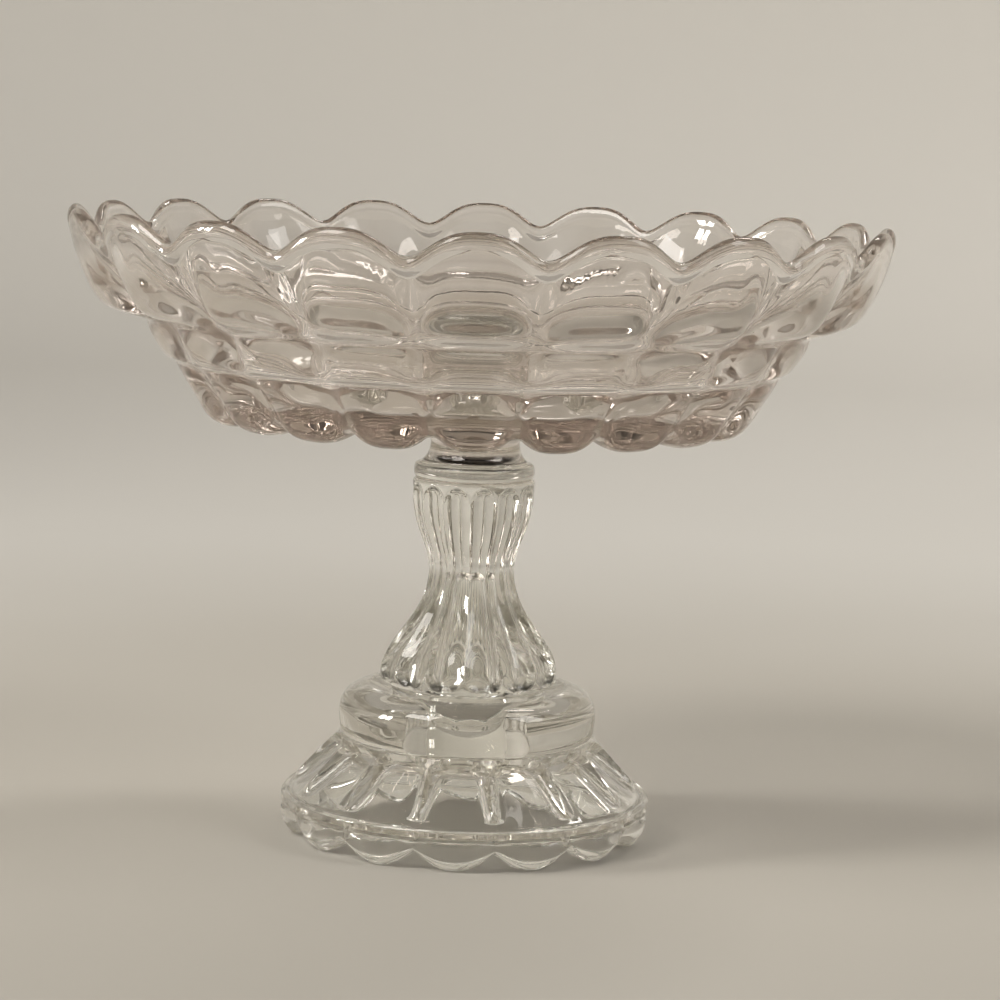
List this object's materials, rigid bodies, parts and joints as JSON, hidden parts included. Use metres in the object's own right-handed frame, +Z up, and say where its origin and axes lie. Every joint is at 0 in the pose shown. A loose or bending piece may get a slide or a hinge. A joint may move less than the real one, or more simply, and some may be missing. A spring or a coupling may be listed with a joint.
{
  "type": "footed centerpiece bowl",
  "caption": "Footed glass centerpiece bowl with a scalloped rim, lobed sides stepped in tiers, a fluted stem and a domed foot with arched panels and a scalloped edge.",
  "frame": {"origin": "on the resting plane, under the axis of the bowl and foot", "axes": "+Z up along the axis, -Y the side that faces the viewer in the picture, +X to that viewer's right"},
  "size_m": [0.26, 0.26, 0.1972],
  "materials": {
    "clear_glass": "pressed, fire polished, nearly colourless",
    "tinted_glass": "pressed, fire polished, faint mauve grey tint"
  },
  "bodies": {
    "root": {"foot": "clear_glass", "neck_ring": "clear_glass", "stem": "clear_glass", "bowl_wafer": "clear_glass", "bowl": "tinted_glass"}
  },
  "joints": []
}
